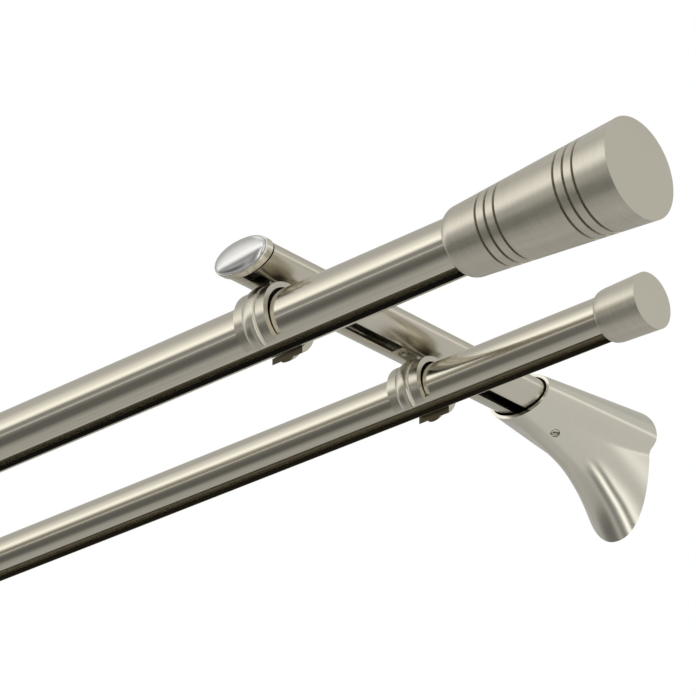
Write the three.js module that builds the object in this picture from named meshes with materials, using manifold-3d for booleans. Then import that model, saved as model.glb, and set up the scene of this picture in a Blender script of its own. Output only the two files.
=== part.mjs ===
// Double curtain rod set: two slotted track rods on a pair of wall brackets.
// Units are millimetres. X runs along the rods, +Y points at the wall and +Z points up.
// The origin is the middle of the right-hand wall plate, on the wall.
import * as THREE from 'three';
import { mergeVertices } from 'three/addons/utils/BufferGeometryUtils.js';
import Module from 'manifold-3d';

const wasm = await Module();
wasm.setup();

// ---------------------------------------------------------------- clearances
const FIT_GAP = 0.3; // between pieces that seat on or in each other
const SLIDE_GAP = 0.25; // each side of a neck that slides in a slot
const SCREW_GAP = 0.2; // around a threaded screw
const THROUGH = 1; // how far a cut or a join runs past the face it meets

// ---------------------------------------------------------------- rods
const ROD_LENGTH = 1200;
const ROD_OVERHANG = 124.5; // bracket centre to rod end
const ROD_WALL = 1.2;
const LIP_DEPTH = 2.6; // the slot's edges turn into the rod by this much
const FRONT_ROD = { radius: 12.5, slot: 7.6 };
const REAR_ROD = { radius: 10, slot: 8.5 };

// ---------------------------------------------------------------- bracket layout
const FRONT_REACH = 230; // wall to front rod axis
const REAR_REACH = 136.6; // wall to rear rod axis
const ARM_HEIGHT = 17; // arm centre above the wall plate's centre
const BRACKET_SPACING = ROD_LENGTH - 2 * ROD_OVERHANG;

// ---------------------------------------------------------------- arm
const ARM_HALF_WIDTH = 15;
const ARM_HALF_HEIGHT = 7.5;
const ARM_WALL = 1.6;
const ARM_SLOT = 7;
const ARM_PAST_ROD = 16; // arm's front end beyond the front rod's axis
const ARM_SEATED = 43; // length of arm held in the foot's socket

// ---------------------------------------------------------------- end cap of the arm
const CAP_PROUD = 0.7; // cap stands proud of the arm all round
const CAP_LENGTH = 4.6;
const CAP_PLUG_LENGTH = 7;
const CAP_PLUG_GAP = 0.35;
const DISC_RIM = 0.5; // satin rim left around the disc
const DISC_SEAT_DEPTH = 1.2;
const DISC_DOME = 3;

// ---------------------------------------------------------------- ring holders
const RING_WIDTH = 17.4;
const RING_WALL = 2.5;
const RING_PLAY = 0.8; // bore radius over rod radius
const RING_RISE = 0.5; // ring axis above rod axis, because the rod lies in the ring
const RING_TO_ARM = 0.9; // ring's top to arm's underside
const RING_OPENING = 16; // between the ring's two legs
const BAND_WIDTH = 7.2;
const BAND_PROUD = 1.1;
const BAND_SHOULDER_RISE = 0.75; // share of the band's height at its shoulders
const BAND_SHOULDER_REACH = 0.72; // share of the band's half-width at its shoulders
const RING_CHAMFER = 0.5;
const NECK_BURIED = 1.5; // depth of the neck's root in the ring's wall
const NECK_SHORT_END = 6.5;
const NECK_LONG_END = 16.3;
const BLOCK_PROUD = 0.3; // neck block below the arm's underside
const HEAD_HALF_WIDTH = 6;
const HEAD_THICKNESS = 3;
const CLAMP_SCREW_OFFSET = 11.6; // from the ring's centre, along the neck

// ---------------------------------------------------------------- screws
const GRUB_RADIUS = 2;
const HEX_ACROSS_FLATS = 2;
const HEX_DEPTH = 1.6;
const GRUB_RECESS = 0.5; // screw's head below the surface
const CAP_SCREW_LENGTH = 2.6;
const SLOPE_ALLOWANCE = 0.5; // extra recess where the surface over a screw slopes

// ---------------------------------------------------------------- wall foot
const FOOT_LENGTH = 69;
const SOCKET_WALL = 1.45;
const SOCKET_GAP = 0.9;
const SOCKET_DEPTH = 48;
const SET_SCREW_FROM_MOUTH = 19;
const SET_SCREW_OVER_SLOT = 0.7; // how far the set screw reaches over the edge of the arm's slot
const FOOT_HALF_WIDTH = 25.2; // upper body where it meets the wall
const FOOT_UPPER = 19.2; // upper half-height of the body at the wall
const FOOT_LOWER = 11.1; // lower half-height of the body at the wall
const FOOT_BODY_DROP = 3.7; // body's centre below the arm's centre, at the wall
const BODY_FLARE = 0.9; // power by which the body widens towards the wall
const TONGUE_ROOT_SHARE = 0.8; // tongue's width over the body's, at the mouth
const TONGUE_FLARE = 3; // power by which the tongue widens towards the wall
const TONGUE_SQUARENESS = 2.2; // 2 is a round tip, and more is squarer
const TONGUE_HALF_WIDTH = 20.5;
const TONGUE_TIP = -32.6; // tip's height at the wall
const FOOT_SHELL = 3; // casting wall around the plate
const PLATE_POCKET = 9.5;

// ---------------------------------------------------------------- wall plate
const PLATE_THICKNESS = 3;
const PLATE_HOLE_RADIUS = 2.6;
const PLATE_HOLE_OFFSET = 13; // wall screw holes above and below the centre
const LUG_WIDTH = 12;
const LUG_DEPTH = 6;
const LUG_HEIGHT = 8;
const LUG_TO_SHELL = 2.5; // lug's top to the inside of the foot's shell
const LUG_TAPPED_DEPTH = 6.4;

// ---------------------------------------------------------------- finials and end caps
const SOCKETED_ROD = 20; // length of rod inside a finial or an end cap
const FINIAL_LENGTH = 89;
const FINIAL_COLLAR_RADIUS = 15.1;
const FINIAL_END_RADIUS = 21.4;
const GROOVE_STATIONS = [20, 61.8]; // first groove of each group, from the collar
const GROOVES_IN_GROUP = 3;
const GROOVE_PITCH = 5;
const GROOVE_WIDTH = 0.9;
const GROOVE_DEPTH = 0.6;
const END_CAP_LENGTH = 22.8;
const END_CAP_COLLAR_RADIUS = 11.9;
const END_CAP_END_RADIUS = 12.6;
const COLLAR_LIP = 0.4; // flat edge left around the bore
const SHOULDER_LENGTH = 5;
const EDGE_CHAMFER = 0.5;

// ---------------------------------------------------------------- facets of round surfaces
const TURN_FACETS = 30; // around a turned piece
const TUBE_FACETS = 28; // steps along each round stretch of a tube's outline
const SCREW_FACETS = 12;
const FOOT_STATIONS = 10;
const FOOT_OUTLINE_STEPS = 16;

// ---------------------------------------------------------------- finishes
const satin = new THREE.MeshStandardMaterial({ color: 0xbdb8ab, roughness: 0.35, metalness: 1 });
const satinCast = new THREE.MeshStandardMaterial({ color: 0xb4afa2, roughness: 0.45, metalness: 1 });
const chrome = new THREE.MeshStandardMaterial({ color: 0xe6e6e8, roughness: 0.08, metalness: 1 });
const zincPlated = new THREE.MeshStandardMaterial({ color: 0x9a9a96, roughness: 0.5, metalness: 1 });
const screwSteel = new THREE.MeshStandardMaterial({ color: 0x7d7b76, roughness: 0.4, metalness: 1 });

// ---------------------------------------------------------------- numbers
const mix = (a, b, t) => a + (b - a) * t;

// Half-height of an oval at a distance x from its middle.
const ovalHeight = (halfWidth, halfHeight, x) => halfHeight * Math.sqrt(1 - (x / halfWidth) ** 2);

// ---------------------------------------------------------------- solids from geometry
function solid(geometry) {
  const bare = geometry.clone();
  bare.deleteAttribute('normal');
  bare.deleteAttribute('uv');
  const merged = mergeVertices(bare, 1e-4);
  const mesh = new wasm.Mesh({
    numProp: 3,
    vertProperties: new Float32Array(merged.attributes.position.array),
    triVerts: new Uint32Array(merged.index.array),
  });
  return new wasm.Manifold(mesh);
}

function geometryOf(manifold) {
  const mesh = manifold.getMesh();
  const geometry = new THREE.BufferGeometry();
  geometry.setAttribute('position', new THREE.BufferAttribute(mesh.vertProperties, 3));
  geometry.setIndex(new THREE.BufferAttribute(mesh.triVerts, 1));
  geometry.computeVertexNormals();
  return geometry;
}

function piece(name, manifold, material, x, y, z) {
  const mesh = new THREE.Mesh(geometryOf(manifold), material);
  mesh.name = name;
  mesh.position.set(x, y, z);
  return mesh;
}

// A box given by its low and high corners.
function block(x0, x1, y0, y1, z0, z1) {
  const box = new THREE.BoxGeometry(x1 - x0, y1 - y0, z1 - z0);
  box.translate((x0 + x1) / 2, (y0 + y1) / 2, (z0 + z1) / 2);
  return solid(box);
}

// Extrudes an outline drawn in (Y, Z) from x0 to x1.
function alongX(shape, x0, x1) {
  const geometry = new THREE.ExtrudeGeometry(shape, {
    depth: x1 - x0, bevelEnabled: false, curveSegments: TUBE_FACETS,
  });
  geometry.applyMatrix4(new THREE.Matrix4().makeBasis(
    new THREE.Vector3(0, 1, 0), new THREE.Vector3(0, 0, 1), new THREE.Vector3(1, 0, 0)));
  geometry.translate(x0, 0, 0);
  return solid(geometry);
}

// Extrudes an outline drawn in (X, Z) from y0 to y1, where y1 is nearer the wall.
function alongY(shape, y0, y1) {
  const geometry = new THREE.ExtrudeGeometry(shape, {
    depth: y1 - y0, bevelEnabled: false, curveSegments: TUBE_FACETS,
  });
  geometry.applyMatrix4(new THREE.Matrix4().makeBasis(
    new THREE.Vector3(1, 0, 0), new THREE.Vector3(0, 0, 1), new THREE.Vector3(0, -1, 0)));
  geometry.translate(0, y1, 0);
  return solid(geometry);
}

// Turns a profile of (radius, station) points about the X axis.
function turned(points) {
  const lathe = new THREE.LatheGeometry(points.map(([r, x]) => new THREE.Vector2(r, x)), TURN_FACETS);
  lathe.rotateZ(-Math.PI / 2);
  return solid(lathe);
}

function rod(radius, axis, from, to) {
  const cylinder = new THREE.CylinderGeometry(radius, radius, to - from, SCREW_FACETS);
  cylinder.translate(0, (from + to) / 2, 0);
  if (axis === 'z') cylinder.rotateX(Math.PI / 2);
  return solid(cylinder);
}

// A hexagon socket grub screw along Z: its socket end is at the bottom, at z = 0.
function grubScrew(length) {
  const socket = new THREE.CylinderGeometry(
    HEX_ACROSS_FLATS / Math.sqrt(3), HEX_ACROSS_FLATS / Math.sqrt(3), 2 * HEX_DEPTH, 6);
  socket.rotateX(Math.PI / 2);
  return rod(GRUB_RADIUS, 'z', 0, length).subtract(solid(socket));
}

// ---------------------------------------------------------------- rods
function trackProfile({ radius, slot }) {
  const half = slot / 2;
  const inner = radius - ROD_WALL;
  const lip = half + ROD_WALL;
  const outerAngle = Math.asin(half / radius);
  const innerAngle = Math.asin(lip / inner);
  const floor = -Math.sqrt(radius * radius - half * half);
  const shape = new THREE.Shape();
  shape.absarc(0, 0, radius, -Math.PI / 2 + outerAngle, 1.5 * Math.PI - outerAngle, false);
  shape.lineTo(-half, floor + LIP_DEPTH);
  shape.lineTo(-lip, floor + LIP_DEPTH);
  shape.absarc(0, 0, inner, 1.5 * Math.PI - innerAngle, -Math.PI / 2 + innerAngle, true);
  shape.lineTo(lip, floor + LIP_DEPTH);
  shape.lineTo(half, floor + LIP_DEPTH);
  return shape;
}

function trackRod(name, spec, y, z) {
  const from = ROD_OVERHANG - ROD_LENGTH;
  return piece(name, alongX(trackProfile(spec), from, ROD_OVERHANG), satin, 0, y, z);
}

// ---------------------------------------------------------------- ring holders
function ringRadii(spec) {
  const bore = spec.radius + RING_PLAY;
  return { bore, outer: bore + RING_WALL };
}

// Height of a rod's axis: the ring hangs a set gap below the arm, and the rod lies low in it.
function rodHeight(spec) {
  return ARM_HEIGHT - ARM_HALF_HEIGHT - RING_TO_ARM - ringRadii(spec).outer - RING_RISE;
}

// The holder's own origin is on the rod's axis; side is +1 where the long end faces the wall.
function ringHolder(spec, side) {
  const { bore, outer } = ringRadii(spec);
  const half = RING_WIDTH / 2;
  const band = BAND_WIDTH / 2;
  const shoulder = outer + BAND_SHOULDER_RISE * BAND_PROUD;
  const profile = [
    [bore, -half], [outer - RING_CHAMFER, -half], [outer, RING_CHAMFER - half], [outer, -band],
    [shoulder, -BAND_SHOULDER_REACH * band], [outer + BAND_PROUD, 0],
    [shoulder, BAND_SHOULDER_REACH * band], [outer, band],
    [outer, half - RING_CHAMFER], [outer - RING_CHAMFER, half], [bore, half], [bore, -half],
  ];
  const ring = turned(profile).translate(0, 0, RING_RISE);
  const armUnderside = ARM_HEIGHT - ARM_HALF_HEIGHT - rodHeight(spec);
  const neckHalf = ARM_SLOT / 2 - SLIDE_GAP;
  const headBottom = ARM_HEIGHT - rodHeight(spec) + FIT_GAP
    - ovalHeight(ARM_HALF_WIDTH - ARM_WALL, ARM_HALF_HEIGHT - ARM_WALL, HEAD_HALF_WIDTH);
  const headTop = headBottom + HEAD_THICKNESS;
  const longEnd = side * NECK_LONG_END;
  const shortEnd = -side * NECK_SHORT_END;
  const y0 = Math.min(longEnd, shortEnd);
  const y1 = Math.max(longEnd, shortEnd);
  const neck = block(-neckHalf, neckHalf, -NECK_SHORT_END, NECK_SHORT_END,
    RING_RISE + outer - NECK_BURIED, headTop);
  const slider = block(-neckHalf, neckHalf, y0, y1, armUnderside - BLOCK_PROUD, headTop);
  const head = block(-HEAD_HALF_WIDTH, HEAD_HALF_WIDTH, y0, y1, headBottom, headTop);
  const opening = block(-RING_WIDTH, RING_WIDTH, -RING_OPENING / 2, RING_OPENING / 2,
    -outer - 2 * BAND_PROUD, 0);
  const screwHole = rod(GRUB_RADIUS + SCREW_GAP, 'z', 0, 2 * headTop)
    .translate(0, side * CLAMP_SCREW_OFFSET, 0);
  return ring.add(neck).add(slider).add(head).subtract(opening).subtract(screwHole);
}

function clampScrew(spec) {
  const armUnderside = ARM_HEIGHT - ARM_HALF_HEIGHT - rodHeight(spec);
  const bottom = armUnderside - BLOCK_PROUD + GRUB_RECESS;
  const top = armUnderside + 2 * ARM_HALF_HEIGHT - ARM_WALL - FIT_GAP;
  return grubScrew(top - bottom).translate(0, 0, bottom);
}

// ---------------------------------------------------------------- arm and its end cap
function oval(halfWidth, halfHeight) {
  const shape = new THREE.Shape();
  shape.absellipse(0, 0, halfWidth, halfHeight, 0, 2 * Math.PI, false);
  return shape;
}

const armFront = -FRONT_REACH - ARM_PAST_ROD;
const armBack = -FOOT_LENGTH + ARM_SEATED;

function arm() {
  const shape = oval(ARM_HALF_WIDTH, ARM_HALF_HEIGHT);
  shape.holes.push(oval(ARM_HALF_WIDTH - ARM_WALL, ARM_HALF_HEIGHT - ARM_WALL));
  const tube = alongY(shape, armFront, armBack);
  const slot = block(-ARM_SLOT / 2, ARM_SLOT / 2, armFront - THROUGH, armBack + THROUGH,
    -2 * ARM_HALF_HEIGHT, 0);
  return tube.subtract(slot);
}

const capHalfWidth = ARM_HALF_WIDTH + CAP_PROUD;
const capHalfHeight = ARM_HALF_HEIGHT + CAP_PROUD;
const capBack = armFront - FIT_GAP;
const capFront = capBack - CAP_LENGTH;

function armCap() {
  const rim = alongY(oval(capHalfWidth, capHalfHeight), capFront, capBack);
  const plugInset = ARM_WALL + CAP_PLUG_GAP;
  const plug = alongY(oval(ARM_HALF_WIDTH - plugInset, ARM_HALF_HEIGHT - plugInset),
    capBack - THROUGH, armFront + CAP_PLUG_LENGTH);
  const seat = alongY(oval(capHalfWidth - DISC_RIM, capHalfHeight - DISC_RIM),
    capFront - THROUGH, capFront + DISC_SEAT_DEPTH);
  return rim.add(plug).subtract(seat);
}

// A low oval dome whose rim fills the cap's seat.
function capDisc() {
  const steps = 4;
  const rimHeight = DISC_SEAT_DEPTH - FIT_GAP;
  const profile = [new THREE.Vector2(0, 0), new THREE.Vector2(1, 0)];
  for (let i = 0; i <= steps; i += 1) {
    const angle = (i / steps) * (Math.PI / 2);
    const radius = i === steps ? 0 : Math.cos(angle);
    profile.push(new THREE.Vector2(radius, rimHeight + DISC_DOME * Math.sin(angle)));
  }
  const dome = new THREE.LatheGeometry(profile, TURN_FACETS);
  dome.rotateX(Math.PI);
  dome.scale(capHalfWidth - DISC_RIM - FIT_GAP, 1, capHalfHeight - DISC_RIM - FIT_GAP);
  dome.translate(0, capFront + DISC_SEAT_DEPTH - FIT_GAP, 0);
  return solid(dome);
}

// ---------------------------------------------------------------- wall foot
const mouthHalfWidth = ARM_HALF_WIDTH + SOCKET_GAP + SOCKET_WALL;
const mouthHalfHeight = ARM_HALF_HEIGHT + SOCKET_GAP + SOCKET_WALL;

// The underside sweeps from the socket's lower edge down to the tongue's tip. Each point gives a
// share of the foot's length and the share of the whole drop reached there.
const underside = new THREE.SplineCurve([
  new THREE.Vector2(0, 0),
  new THREE.Vector2(0.22, 0.08),
  new THREE.Vector2(0.44, 0.21),
  new THREE.Vector2(0.64, 0.36),
  new THREE.Vector2(0.84, 0.65),
  new THREE.Vector2(1, 1),
]);

function undersideHeight(t) {
  let low = 0;
  let high = 1;
  for (let i = 0; i < 30; i += 1) {
    const middle = (low + high) / 2;
    if (underside.getPoint(middle).x < t) low = middle;
    else high = middle;
  }
  return mix(ARM_HEIGHT - mouthHalfHeight, TONGUE_TIP, underside.getPoint(low).y);
}

// One upright section of the foot, at t = 0 (mouth) to 1 (wall), drawn inset by a wall thickness.
// An oval body is joined by a tongue with a rounded, tapering outline.
function footSection(t, inset, count) {
  const halfWidth = mix(mouthHalfWidth, FOOT_HALF_WIDTH, t ** BODY_FLARE) - inset;
  const upper = mix(mouthHalfHeight, FOOT_UPPER, t) - inset;
  const lower = mix(mouthHalfHeight, FOOT_LOWER, t) - inset;
  const centre = ARM_HEIGHT - FOOT_BODY_DROP * t;
  const tongueHalf = mix(TONGUE_ROOT_SHARE * mouthHalfWidth, TONGUE_HALF_WIDTH, t ** TONGUE_FLARE) - inset;
  const tip = Math.min(undersideHeight(t) + inset, centre - lower);
  const top = centre + upper;
  const right = [];
  for (let i = 0; i <= count; i += 1) {
    const z = mix(tip, top, (1 - Math.cos((Math.PI * i) / count)) / 2);
    const bodyShare = Math.min(1, Math.abs(z - centre) / (z > centre ? upper : lower));
    const body = halfWidth * Math.sqrt(1 - bodyShare * bodyShare);
    const tongueShare = z < centre ? Math.min(1, (centre - z) / (centre - tip)) : 1;
    const tongue = tongueHalf * (1 - tongueShare ** TONGUE_SQUARENESS) ** (1 / TONGUE_SQUARENESS);
    right.push([Math.max(body, tongue), z]);
  }
  const left = right.slice(1, -1).reverse().map(([x, z]) => [-x, z]);
  return [...right, ...left];
}

// Joins equal-length sections, given at rising y, into one closed solid.
function loft(sections, ys) {
  const count = sections[0].length;
  const position = [];
  const index = [];
  sections.forEach((section, s) => section.forEach(([x, z]) => position.push(x, ys[s], z)));
  for (let s = 0; s + 1 < sections.length; s += 1) {
    for (let i = 0; i < count; i += 1) {
      const a = s * count + i;
      const b = s * count + ((i + 1) % count);
      index.push(a, a + count, b, b, a + count, b + count);
    }
  }
  const cap = (section) => {
    const outline = section.map(([x, z]) => new THREE.Vector2(x, z));
    return THREE.ShapeUtils.triangulateShape(outline, []);
  };
  const last = (sections.length - 1) * count;
  cap(sections[0]).forEach(([a, b, c]) => index.push(a, b, c));
  cap(sections[sections.length - 1]).forEach(([a, b, c]) => index.push(last + a, last + c, last + b));
  const geometry = new THREE.BufferGeometry();
  geometry.setAttribute('position', new THREE.Float32BufferAttribute(position, 3));
  geometry.setIndex(index);
  return solid(geometry);
}

const lockScrewY = -PLATE_THICKNESS - LUG_DEPTH / 2;

function footShell() {
  const sections = [];
  const ys = [];
  for (let i = 0; i <= FOOT_STATIONS; i += 1) {
    sections.push(footSection(i / FOOT_STATIONS, 0, FOOT_OUTLINE_STEPS));
    ys.push(-FOOT_LENGTH * (1 - i / FOOT_STATIONS));
  }
  return loft(sections, ys);
}

// The pocket's outline, and the plate's inside it, follow the foot's outline at the wall.
function platePrism(inset, y0, y1) {
  const outline = footSection(1 - PLATE_POCKET / FOOT_LENGTH, inset, FOOT_OUTLINE_STEPS);
  return loft([outline, outline], [y0, y1]);
}

const setScrewX = ARM_SLOT / 2 - SET_SCREW_OVER_SLOT + GRUB_RADIUS;
const setScrewY = SET_SCREW_FROM_MOUTH - FOOT_LENGTH;
const footUndersideAtScrew = undersideHeight(1 + setScrewY / FOOT_LENGTH);

// Places the arm's set screw, or its hole, which is drawn along +Z.
function placedSetScrew(manifold) {
  return manifold.translate(setScrewX, setScrewY, 0);
}

function foot() {
  const socket = alongY(oval(ARM_HALF_WIDTH + SOCKET_GAP, ARM_HALF_HEIGHT + SOCKET_GAP),
    -FOOT_LENGTH - THROUGH, -FOOT_LENGTH + SOCKET_DEPTH).translate(0, 0, ARM_HEIGHT);
  const pocket = platePrism(FOOT_SHELL, -PLATE_POCKET, THROUGH);
  const setScrewHole = placedSetScrew(rod(GRUB_RADIUS + SCREW_GAP, 'z', TONGUE_TIP, ARM_HEIGHT));
  const lockScrewHole = rod(GRUB_RADIUS + SCREW_GAP, 'z', 0, 3 * ARM_HEIGHT).translate(0, lockScrewY, 0);
  return footShell().subtract(socket).subtract(pocket).subtract(setScrewHole).subtract(lockScrewHole);
}

function armSetScrew() {
  const bottom = footUndersideAtScrew + GRUB_RECESS + SLOPE_ALLOWANCE;
  const armSurface = ARM_HEIGHT
    - ovalHeight(ARM_HALF_WIDTH, ARM_HALF_HEIGHT, setScrewX - GRUB_RADIUS);
  return placedSetScrew(grubScrew(armSurface - FIT_GAP - bottom).translate(0, 0, bottom));
}

// ---------------------------------------------------------------- wall plate and its lock screw
const lugTop = ARM_HEIGHT - FOOT_BODY_DROP + FOOT_UPPER - FOOT_SHELL - LUG_TO_SHELL;

function wallPlate() {
  const plate = platePrism(FOOT_SHELL + FIT_GAP, -PLATE_THICKNESS, 0);
  const lug = block(-LUG_WIDTH / 2, LUG_WIDTH / 2, -PLATE_THICKNESS - LUG_DEPTH, -PLATE_THICKNESS / 2,
    lugTop - LUG_HEIGHT, lugTop);
  const screwHoles = [PLATE_HOLE_OFFSET, -PLATE_HOLE_OFFSET].map((z) => {
    const depth = 4 * PLATE_THICKNESS;
    const hole = new THREE.CylinderGeometry(PLATE_HOLE_RADIUS, PLATE_HOLE_RADIUS, depth, SCREW_FACETS);
    hole.translate(0, 0, z);
    return solid(hole);
  });
  const tapped = rod(GRUB_RADIUS + SCREW_GAP, 'z', lugTop - LUG_TAPPED_DEPTH, lugTop + THROUGH)
    .translate(0, lockScrewY, 0);
  return plate.add(lug).subtract(screwHoles[0]).subtract(screwHoles[1]).subtract(tapped);
}

function footLockScrew() {
  const t = 1 + lockScrewY / FOOT_LENGTH;
  const footTop = ARM_HEIGHT - FOOT_BODY_DROP * t + mix(mouthHalfHeight, FOOT_UPPER, t);
  const top = footTop - GRUB_RECESS - SLOPE_ALLOWANCE;
  const bottom = lugTop - LUG_TAPPED_DEPTH + FIT_GAP;
  const upright = grubScrew(top - bottom).rotate([180, 0, 0]);
  return upright.translate(0, lockScrewY, top);
}

// ---------------------------------------------------------------- finials and end caps
// Radius of the outer cone at a station x from the collar's edge.
function coneRadius(spec, x) {
  return mix(spec.collar, spec.end, x / spec.length);
}

// A turned end piece: rounded shoulder, cone with grooves, flat end and a blind bore for the rod.
function endPiece(spec) {
  const bore = spec.rodRadius + FIT_GAP;
  const profile = [[0, SOCKETED_ROD + FIT_GAP], [bore, SOCKETED_ROD + FIT_GAP], [bore, 0]];
  const lipRadius = bore + COLLAR_LIP;
  const shoulderSteps = 3;
  for (let i = 0; i <= shoulderSteps; i += 1) {
    const angle = (i / shoulderSteps) * (Math.PI / 2);
    const rise = coneRadius(spec, SHOULDER_LENGTH) - lipRadius;
    profile.push([lipRadius + rise * Math.sin(angle), SHOULDER_LENGTH * (1 - Math.cos(angle))]);
  }
  spec.grooves.forEach((x) => {
    profile.push([coneRadius(spec, x - GROOVE_WIDTH / 2), x - GROOVE_WIDTH / 2]);
    profile.push([coneRadius(spec, x) - GROOVE_DEPTH, x]);
    profile.push([coneRadius(spec, x + GROOVE_WIDTH / 2), x + GROOVE_WIDTH / 2]);
  });
  profile.push([coneRadius(spec, spec.length - EDGE_CHAMFER), spec.length - EDGE_CHAMFER]);
  profile.push([spec.end - EDGE_CHAMFER, spec.length]);
  profile.push([0, spec.length]);
  return turned(profile).subtract(endScrewHole(spec));
}

const END_SCREW_STATION = SOCKETED_ROD / 2;

function endScrewHole(spec) {
  return rod(GRUB_RADIUS + SCREW_GAP, 'y', spec.rodRadius, spec.end + THROUGH)
    .translate(END_SCREW_STATION, 0, 0);
}

function endScrew(spec) {
  const inner = spec.rodRadius + FIT_GAP;
  return grubScrew(CAP_SCREW_LENGTH - FIT_GAP).rotate([90, 0, 0])
    .translate(END_SCREW_STATION, inner + CAP_SCREW_LENGTH - FIT_GAP, 0);
}

const grooves = GROOVE_STATIONS.flatMap(
  (first) => Array.from({ length: GROOVES_IN_GROUP }, (_, i) => first + i * GROOVE_PITCH));
const FINIAL = {
  length: FINIAL_LENGTH, collar: FINIAL_COLLAR_RADIUS, end: FINIAL_END_RADIUS, grooves,
  rodRadius: FRONT_ROD.radius,
};
const END_CAP = {
  length: END_CAP_LENGTH, collar: END_CAP_COLLAR_RADIUS, end: END_CAP_END_RADIUS, grooves: [],
  rodRadius: REAR_ROD.radius,
};

// Puts an end piece on each end of a rod. The left one is the right one's mirror image along X,
// so that both screws face the wall.
function endPieces(name, spec, y, z) {
  const group = new THREE.Group();
  [['right', 1], ['left', -1]].forEach(([side, sign]) => {
    const collarX = sign > 0 ? ROD_OVERHANG - SOCKETED_ROD : SOCKETED_ROD + ROD_OVERHANG - ROD_LENGTH;
    const flip = (manifold) => (sign > 0 ? manifold : manifold.mirror([1, 0, 0]));
    group.add(piece(`${name}_${side}`, flip(endPiece(spec)), satin, collarX, y, z));
    group.add(piece(`${name}_screw_${side}`, flip(endScrew(spec)), screwSteel, collarX, y, z));
  });
  return group;
}

// ---------------------------------------------------------------- brackets
function bracket(side, x) {
  const group = new THREE.Group();
  const frontZ = rodHeight(FRONT_ROD);
  const rearZ = rodHeight(REAR_ROD);
  group.add(piece(`wall_foot_${side}`, foot(), satinCast, 0, 0, 0));
  group.add(piece(`wall_plate_${side}`, wallPlate(), zincPlated, 0, 0, 0));
  group.add(piece(`foot_lock_screw_${side}`, footLockScrew(), screwSteel, 0, 0, 0));
  group.add(piece(`arm_set_screw_${side}`, armSetScrew(), screwSteel, 0, 0, 0));
  group.add(piece(`arm_${side}`, arm(), satin, 0, 0, ARM_HEIGHT));
  group.add(piece(`arm_cap_${side}`, armCap(), satinCast, 0, 0, ARM_HEIGHT));
  group.add(piece(`cap_disc_${side}`, capDisc(), chrome, 0, 0, ARM_HEIGHT));
  group.add(piece(`front_holder_${side}`, ringHolder(FRONT_ROD, 1), satinCast, 0, -FRONT_REACH, frontZ));
  group.add(piece(`front_clamp_screw_${side}`, clampScrew(FRONT_ROD), screwSteel,
    0, -FRONT_REACH + CLAMP_SCREW_OFFSET, frontZ));
  group.add(piece(`rear_holder_${side}`, ringHolder(REAR_ROD, -1), satinCast, 0, -REAR_REACH, rearZ));
  group.add(piece(`rear_clamp_screw_${side}`, clampScrew(REAR_ROD), screwSteel,
    0, -REAR_REACH - CLAMP_SCREW_OFFSET, rearZ));
  group.position.x = x;
  return group;
}

// ---------------------------------------------------------------- assembly
const curtainRodSet = new THREE.Group();
curtainRodSet.add(bracket('right', 0));
curtainRodSet.add(bracket('left', -BRACKET_SPACING));
curtainRodSet.add(trackRod('front_rod', FRONT_ROD, -FRONT_REACH, rodHeight(FRONT_ROD)));
curtainRodSet.add(trackRod('rear_rod', REAR_ROD, -REAR_REACH, rodHeight(REAR_ROD)));
curtainRodSet.add(endPieces('finial', FINIAL, -FRONT_REACH, rodHeight(FRONT_ROD)));
curtainRodSet.add(endPieces('end_cap', END_CAP, -REAR_REACH, rodHeight(REAR_ROD)));

export default curtainRodSet;
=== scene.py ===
"""Double curtain rod set on two wall brackets: finished surfaces, studio light and camera.

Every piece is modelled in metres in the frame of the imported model: +X runs along the rods,
+Y points at the wall and +Z points up. Places and overall sizes are read from the frame.
"""

import logging
import math
from collections.abc import Callable, Sequence
from dataclasses import dataclass, field
from enum import Enum

import bmesh
import bpy
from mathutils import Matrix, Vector


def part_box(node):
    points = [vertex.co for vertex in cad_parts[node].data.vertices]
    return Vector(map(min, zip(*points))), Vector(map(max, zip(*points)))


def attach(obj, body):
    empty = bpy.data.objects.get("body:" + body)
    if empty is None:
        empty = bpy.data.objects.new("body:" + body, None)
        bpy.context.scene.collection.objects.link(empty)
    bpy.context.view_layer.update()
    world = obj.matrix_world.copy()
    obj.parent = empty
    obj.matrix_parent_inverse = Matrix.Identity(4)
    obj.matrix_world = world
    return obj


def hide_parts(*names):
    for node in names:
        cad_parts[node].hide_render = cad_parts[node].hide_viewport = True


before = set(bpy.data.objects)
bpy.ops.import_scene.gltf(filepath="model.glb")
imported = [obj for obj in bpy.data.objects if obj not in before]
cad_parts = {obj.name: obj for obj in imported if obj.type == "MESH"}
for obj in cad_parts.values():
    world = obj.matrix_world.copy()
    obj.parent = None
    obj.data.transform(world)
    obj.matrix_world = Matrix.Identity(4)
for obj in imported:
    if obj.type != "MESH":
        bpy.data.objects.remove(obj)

MM = 0.001
LOG = logging.getLogger("curtain_rod_set")
NEAR = 0.1 * MM  # a face this close to a place lies on it
FLAT, FACING, EDGE_ON = 0.99, 0.9, 0.1  # how far a face's normal follows an axis
DRILL_SIDES = 24
Station = tuple[float, float]
Triple = tuple[float, float, float]
Colour = tuple[float, float, float, float]
Outline = list[Station]


class Axis(Enum):
    """A direction of the frame that a piece is turned or drawn out along."""

    X = 0
    Y = 1
    Z = 2

    @property
    def unit(self) -> Vector:
        """The axis as a unit vector."""
        return Vector([1.0 if i == self.value else 0.0 for i in range(3)])

    @property
    def tilt(self) -> Triple:
        """The turn that lays a flat circle square to this axis."""
        quarter = math.pi / 2
        return ((0.0, quarter, 0.0), (quarter, 0.0, 0.0), (0.0, 0.0, 0.0))[self.value]

    def across(self, width: float, height: float | None = None) -> Triple:
        """Sizes square to the axis with 1 along it. A width alone serves for both."""
        sizes = [width, width if height is None else height]
        sizes.insert(self.value, 1.0)
        return tuple(sizes)


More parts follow.
